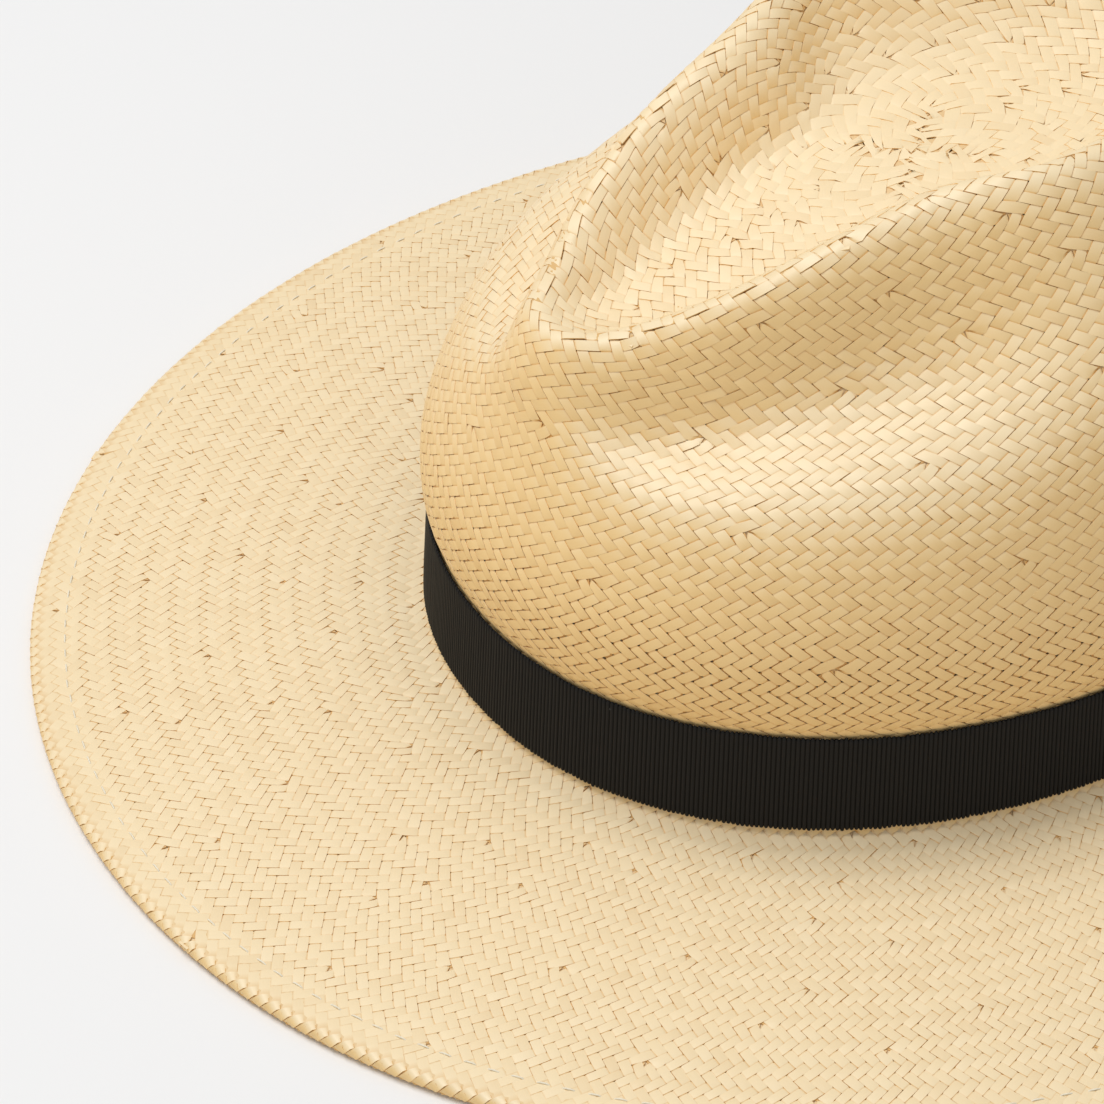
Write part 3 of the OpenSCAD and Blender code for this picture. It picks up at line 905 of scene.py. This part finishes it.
def even_angles(inset, count, start=-np.pi, stop=np.pi):
    """Angles of count points at even steps along the foot oval."""
    fine = np.linspace(start, stop, 6001)
    x, y = foot_oval(fine, inset)
    along = running_total(np.hypot(np.diff(x), np.diff(y)))
    return np.interp(np.arange(count) / count * along[-1], along, fine), along[-1]


def finish_piece(obj, material, node_name, uv, grain):
    add_uv(obj.data, "OFBake", uv)
    add_uv(obj.data, "grain", grain)
    declare(obj, material, node_name)
    return obj


def closed_band(name, outline, material, node_name, length):
    """Ring with the given closed outline, an array of sections x columns x 3."""
    sections, columns = outline.shape[:2]
    i, j = np.meshgrid(np.arange(sections), np.arange(columns), indexing="ij")
    i2, j2 = (i + 1) % sections, (j + 1) % columns
    quads = np.stack([i * columns + j, i * columns + j2, i2 * columns + j2, i2 * columns + j],
                     -1).reshape(-1, 4)
    obj = new_mesh(name, outline.reshape(-1, 3), quads)
    step = np.linalg.norm(np.roll(outline, -1, 0) - outline, axis=2).mean(1)
    down = running_total(step)[:-1]
    grain = np.stack([np.broadcast_to(j / columns * length, i.shape),
                      np.broadcast_to(down[:, None], i.shape)], -1)
    uv = np.stack([j / columns * 0.98 + 0.01, i / sections * 0.98 + 0.01], -1)
    return finish_piece(obj, material, node_name, uv.reshape(-1, 2),
                        grain.reshape(-1, 2))


def make_hatband(material):
    """Grosgrain ribbon: upright ribs, and edges where the ribs end in small scallops."""
    rng = np.random.default_rng(31)
    length = even_angles(-1, 10)[1]
    ribs = int(round(length / RIB_PITCH))
    columns = ribs * RIB_SAMPLES
    angle, length = even_angles(-1, columns)
    rib = np.tile(rib_profile(RIB_SAMPLES), ribs)
    per_rib = np.repeat(rng.standard_normal((3, ribs)), RIB_SAMPLES, axis=1)
    share = np.arange(columns) / columns * 2 * np.pi
    sway = 0.12 * np.sin(5 * share + 1) + 0.09 * np.sin(13 * share + 2)
    rows = []
    for f in (0, 0.015, 0.05, 0.13, 0.28, 0.5, 0.72, 0.87, 0.95, 0.985, 1):
        outwards = 1 if f > 0.5 else -1
        edge = min(f, 1 - f)
        end = 1 if edge == 0 else 0
        scallop = (SCALLOP * rib + 0.07 * per_rib[0]) * outwards * (edge < 0.04)
        z = RIBBON_Z + f * RIBBON_WIDTH + scallop - 0.15 * outwards
        z = z + sway * (f - 0.3)
        swell = 0.035 * math.cos(2 * math.pi * 2.5 * f)
        face = wall_inset(z) - GAP - RIBBON_THICKNESS + swell + 0.22 * end
        face = face + 0.07 * (1 - f) - RIBBON_FLARE * f
        face = face - (rib - 0.6) * RIB_HEIGHT * (0.35 if end else 1) + 0.012 * per_rib[1]
        rows.append(oval_row(angle, face, z))
    for f in (0.985, 0.6, 0.3, 0.015):
        z = RIBBON_Z + f * RIBBON_WIDTH
        rows.append(oval_row(angle, wall_inset(z) - GAP - 0.1 - RIBBON_FLARE * f, z))
    band = closed_band("ribbon", np.array(rows)[::-1], material, "hatband", length)
    # the rib profile also sets the ribbon's painted highlight and shade
    add_value(band.data, "rib", np.tile(rib, len(rows)))


def strip_shell(name, outer, inner, material, node_name, size):
    """Closed strip between two grids of rows x columns x 3."""
    rows, columns = outer.shape[:2]
    points = np.concatenate([outer.reshape(-1, 3), inner.reshape(-1, 3)])
    i, j = (a.ravel() for a in np.meshgrid(np.arange(rows - 1), np.arange(columns - 1),
                                           indexing="ij"))
    a = i * columns + j
    face = np.stack([a, a + 1, a + columns + 1, a + columns], 1)
    back = face[:, ::-1] + rows * columns
    loop = np.concatenate([np.arange(columns), np.arange(1, rows) * columns + columns - 1,
                           (rows - 1) * columns + np.arange(columns - 2, -1, -1),
                           np.arange(rows - 2, 0, -1) * columns])
    after = np.roll(loop, -1)
    rim = np.stack([loop, loop + rows * columns, after + rows * columns, after], 1)
    obj = new_mesh(name, points, np.concatenate([face, back, rim]))
    r, c = np.meshgrid(np.linspace(0, 1, rows), np.linspace(0, 1, columns), indexing="ij")
    one = np.stack([c, r], -1).reshape(-1, 2)
    uv = np.concatenate([one * [0.47, 0.98] + [0.01, 0.01], one * [0.47, 0.98] + [0.51, 0.01]])
    grain = np.concatenate([one, one]) * size
    return finish_piece(obj, material, node_name, uv, grain)


def even_path(points, count):
    """Points at even steps along a polyline, with the unit normals on its left."""
    points = np.array(points, float)
    along = running_total(np.linalg.norm(np.diff(points, axis=0), axis=1))
    path = interpolate(np.linspace(0, along[-1], count), along, points)
    direction = unit(np.gradient(path, axis=0))
    return path, np.stack([-direction[:, 1], direction[:, 0]], 1), along[-1]


def make_keeper(material):
    """Ribbon folded round the join at the back; its ribs lie level and its ends turn inwards."""
    half = (keeper_hi[0] - keeper_lo[0]) / 2 / FOOT_X
    angle = math.pi + np.linspace(-half, half, 33)
    z0, z1 = keeper_lo[2] + 0.1, keeper_hi[2] - 0.1
    out = GAP + 2 * RIBBON_THICKNESS + 0.45
    lean = wall_inset(np.array([z0, z1]))
    path, normal, length = even_path([
        (lean[0] - 0.5, z0 + 0.05), (lean[0] - out + 0.5, z0), (lean[0] - out, z0 + 0.6),
        (lean[1] - out, z1 - 0.6), (lean[1] - out + 0.5, z1), (lean[1] - 0.7, z1 - 0.05)],
        25 * RIB_SAMPLES + 1)
    rib = rib_profile(len(path))
    selvage = np.linspace(-1, 1, len(angle)) ** 12
    grids = []
    for depth, relief in ((0.0, RIB_HEIGHT), (-0.35, 0.0)):
        offset = depth + relief * (rib[:, None] - 0.6) * (1 - 0.7 * selvage)[None, :]
        inset = path[:, :1] + normal[:, :1] * -offset
        height = path[:, 1:] + normal[:, 1:] * -offset
        grids.append(oval_row(angle[None, :], inset, height))
    keeper = strip_shell("ribbon_keeper", grids[0], grids[1], material, "hatband_keeper",
                         (16.0, length))
    # the rib profile also sets the keeper's painted highlight and shade
    add_value(keeper.data, "rib", np.tile(np.repeat(rib, len(angle)), 2))


def make_sweatband(material):
    """Cotton twill band with a turned hem along its upper edge, slightly wavy where it is free."""
    columns = 960
    angle, length = even_angles(4, columns)
    share = np.arange(columns) / columns * 2 * np.pi
    ripple = (np.sin(7 * share + 0.4) + 0.7 * np.sin(16 * share + 2) + 0.4 * np.sin(37 * share)) / 2
    rows = []
    for f in (0, 0.01, 0.04, 0.09, 0.2, 0.35, 0.5, 0.65,
              0.78, 0.85, 0.87, 0.885, 0.9, 0.94, 0.985, 1):
        z = sweat_lo[2] + f * SWEAT_HEIGHT
        hem = 0.22 if f > 1 - SWEAT_HEM / SWEAT_HEIGHT else 0
        seam = -0.12 * math.exp(-((f - 0.88) / 0.012) ** 2)
        face = wall_inset(z) + SWEAT_SEAT + SWEAT_FLARE * f + hem + seam
        face -= 0.3 if f in (0, 1) else 0
        rows.append(oval_row(angle, face + SWEAT_WAVE * ripple * f * f,
                             z + SWEAT_LIFT * ripple * f * f))
    for f in (0.99, 0.7, 0.35, 0.01):
        z = sweat_lo[2] + f * SWEAT_HEIGHT
        face = wall_inset(z) + SWEAT_SEAT + SWEAT_FLARE * f - 0.75
        rows.append(oval_row(angle, face + SWEAT_WAVE * ripple * f * f,
                             z + SWEAT_LIFT * ripple * f * f))
    band = closed_band("sweatband_cloth", np.array(rows), material, "sweatband",
                       length)


def make_seam_tape(material):
    half = (tape_hi[0] - tape_lo[0]) / 2 / FOOT_X
    angle = math.pi + np.linspace(-half, half, 25)
    z = np.linspace(tape_lo[2], tape_hi[2], 41)[:, None]
    seat = wall_inset(z) + SWEAT_SEAT + SWEAT_FLARE * (z - sweat_lo[2]) / SWEAT_HEIGHT
    selvage = 0.12 * np.abs(np.linspace(-1, 1, len(angle)))[None, :] ** 8
    grids = [oval_row(angle[None, :], seat + depth + selvage * (depth > 0.5), z)
             for depth in (0.75, 0.35)]
    size = (12.0, float(tape_hi[2] - tape_lo[2]))
    tape = strip_shell("seam_tape", grids[0][::-1], grids[1][::-1], material,
                       "sweatband_seam_tape", size)


def make_stitches(name, centre, ahead, normal, length, radius, material, node_name):
    """Arched stitches whose ends sink into the cloth; centre, ahead and normal are n x 3."""
    steps, sides = 9, 6
    f = np.linspace(-1, 1, steps)
    side = np.cross(normal, ahead)
    spine = (centre[:, None] + ahead[:, None] * f[None, :, None] * length / 2
             - normal[:, None] * (np.abs(f) ** 4)[None, :, None] * radius * 3.0)
    turn = np.arange(sides) / sides * 2 * np.pi
    swell = radius * (1 - 0.35 * np.abs(f) ** 3) * (1 + 0.06 * np.cos(9 * f))
    points = (spine[:, :, None] + swell[None, :, None, None]
              * (side[:, None, None] * np.cos(turn)[None, None, :, None]
                 + normal[:, None, None] * np.sin(turn)[None, None, :, None]))
    n = len(centre)
    k, i, j = (a.ravel() for a in np.meshgrid(np.arange(n), np.arange(steps - 1),
                                              np.arange(sides), indexing="ij"))
    base, j2 = (k * steps + i) * sides, (j + 1) % sides
    quads = np.stack([base + j, base + j2, base + sides + j2, base + sides + j], 1)
    start = np.arange(n) * steps * sides
    last = start + (steps - 1) * sides
    caps = np.concatenate([np.stack([start, start + sides - 1 - c, start + sides - 2 - c], 1)
                           for c in range(sides - 2)]
                          + [np.stack([last, last + 1 + c, last + 2 + c], 1)
                             for c in range(sides - 2)])
    obj = new_mesh(name, points.reshape(-1, 3), quads, caps)
    row = np.arange(n * steps * sides)
    number, along, round_ = row // (steps * sides), row // sides % steps, row % sides
    grid = int(math.ceil(math.sqrt(n)))
    uv = np.stack([(number % grid + 0.1 + 0.8 * round_ / sides) / grid,
                   (number // grid + 0.1 + 0.8 * along / steps) / grid], 1)
    grain = np.stack([round_ / sides * 1.5, along / steps * length + number * 3.7], 1)
    return finish_piece(obj, material, node_name, uv, grain)


STITCH_PITCH = 5.0


def make_hem_stitches(material):
    rng = np.random.default_rng(47)
    perimeter = np.pi * (FOOT_X + FOOT_Y + BRIM_SIDE + BRIM_WIDTH - 2 * STITCH_INSET)
    count = int(perimeter / STITCH_PITCH)
    angle = np.arange(count) / count * 2 * np.pi - np.pi + rng.uniform(-1, 1, count) * 0.0012
    places = []
    for shift in (-0.002, 0, 0.002):
        x, y = edge_oval(angle + shift, STITCH_INSET + rng.normal(0, 0.08, count) * (shift == 0))
        places.append(np.stack([x, y], -1))
    ahead = np.concatenate([unit(places[2] - places[0]), np.zeros((count, 1))], 1)
    u = 1 - (STITCH_INSET - ROLL_R) / (BRIM_WIDTH - ROLL_R)
    centre, normal = [], []
    for z, up in ((BRIM_TOP - BRIM_RISE * u * u - 0.2, 1), (1.02, -1)):
        centre.append(np.concatenate([places[1], np.full((count, 1), z)], 1))
        normal.append(np.broadcast_to([0.0, 0.0, up], (count, 3)))
    make_stitches("hem_thread", np.concatenate(centre), np.concatenate([ahead, ahead]),
                  np.concatenate(normal), 3.1, 0.2, material, "hem_stitching")


def make_sweatband_stitches(material):
    z = sweat_lo[2] + 2.5
    inset = wall_inset(z) + SWEAT_SEAT + 0.15
    count = int(math.pi * (FOOT_X + FOOT_Y - 2 * inset) / STITCH_PITCH)
    angle = even_angles(inset, count)[0]
    here, there = (np.stack(foot_oval(angle + d, inset), -1) for d in (-0.002, 0.002))
    flat = np.zeros((count, 1))
    ahead = np.concatenate([unit(there - here), flat], 1)
    normal = np.cross([0.0, 0.0, 1.0], ahead)
    centre = np.concatenate([(here + there) / 2, flat + z], 1)
    normal *= np.sign(-(normal * centre).sum(1))[:, None]
    make_stitches("sweatband_thread", centre, ahead, normal, 3.2, 0.22, material,
                  "sweatband_stitching")


# ---------------------------------------------------------------- camera, light and floor
CAMERA_AZIMUTH, CAMERA_ELEVATION, CAMERA_ROLL = 60.0, 39.19, -0.53
CAMERA_DISTANCE = 0.9
CAMERA_AIM = Vector((-0.03964, -0.0596, 0.0))
CAMERA_LENS = 139.3
WORLD_STRENGTH = 0.46
# place in metres, size in metres and watts of each light
LIGHTS = {"overhead": ((-0.35, -0.45, 1.5), 1.0, 16.3), "fill": ((0.8, -0.5, 1.0), 1.2, 1.5)}
FLOOR_SIZE, FLOOR_DROP = 6000.0, 0.02
FLOOR_COLOUR = (0.83, 0.83, 0.83, 1)


def place_camera():
    azimuth, elevation = math.radians(CAMERA_AZIMUTH), math.radians(CAMERA_ELEVATION)
    back = Vector((math.sin(azimuth) * math.cos(elevation),
                   -math.cos(azimuth) * math.cos(elevation), math.sin(elevation)))
    right = Vector((math.cos(azimuth), math.sin(azimuth), 0))
    up = back.cross(right)
    turn = Matrix((right, up, back)).transposed().to_4x4()
    data = bpy.data.cameras.new("camera")
    data.lens, data.sensor_width = CAMERA_LENS, 36
    camera = bpy.data.objects.new("camera", data)
    bpy.context.scene.collection.objects.link(camera)
    camera.matrix_world = (Matrix.Translation(CAMERA_AIM + back * CAMERA_DISTANCE) @ turn
                           @ Matrix.Rotation(math.radians(CAMERA_ROLL), 4, "Z"))
    bpy.context.scene.camera = camera


def area_light(name, place, size, watts):
    data = bpy.data.lights.new(name, "AREA")
    data.size, data.energy = size, watts
    light = bpy.data.objects.new(name, data)
    bpy.context.scene.collection.objects.link(light)
    light.location = place
    light.rotation_euler = (-Vector(place)).to_track_quat("-Z", "Y").to_euler()


def make_studio():
    world = bpy.data.worlds.new("studio")
    bpy.context.scene.world = world
    world.use_nodes = True
    background = world.node_tree.nodes["Background"]
    background.inputs["Color"].default_value = (1.0, 1.0, 1.0, 1)
    background.inputs["Strength"].default_value = WORLD_STRENGTH
    for name, (place, size, watts) in LIGHTS.items():
        area_light(name, place, size, watts)
    corners = np.array([[-1, -1, 0], [1, -1, 0], [1, 1, 0], [-1, 1, 0]]) * FLOOR_SIZE / 2
    floor = new_mesh("floor", corners - [0, 0, FLOOR_DROP], np.array([[0, 1, 2, 3]]), smooth=False)
    mat, _, _ = material("pale_floor", Base_Color=FLOOR_COLOUR, Roughness=0.9)
    floor.data.materials.append(mat)
    bpy.context.scene.view_settings.view_transform = "Standard"


place_camera()
make_studio()
lattice = Lattice()
make_weave(lattice, straw_material())
ribbon_cloth = grosgrain_material()
make_hatband(ribbon_cloth)
make_keeper(ribbon_cloth)
make_sweatband(cloth_material("cotton_twill", (0.66, 0.57, 0.42, 1), (0.80, 0.72, 0.58, 1),
                              0.85, 0.9, 0.00006, 0.9))
make_seam_tape(cloth_material("cotton_tape", (0.60, 0.50, 0.34, 1), (0.74, 0.65, 0.48, 1),
                              0.85, 0.0, 0.00006, 1.1))
thread = cloth_material("thread", (0.88, 0.78, 0.58, 1), (0.95, 0.88, 0.72, 1),
                        0.45, 0.6, 0.00005, 2.2)
make_hem_stitches(thread)
make_sweatband_stitches(thread)
dress_node("brim_wire", metal_material("steel_wire", (0.34, 0.34, 0.35, 1), (0.62, 0.62, 0.64, 1)))
dress_node("wire_sleeve", metal_material("brass", (0.50, 0.36, 0.14, 1), (0.80, 0.62, 0.30, 1)))
dress_node("hatband_tacks", grain_material("tack_thread", (0.008, 0.008, 0.009, 1),
                                           (0.03, 0.03, 0.032, 1), 0.6))
dress_node("sweatband_reed", grain_material("reed", (0.62, 0.46, 0.25, 1),
                                            (0.82, 0.68, 0.44, 1), 0.5))
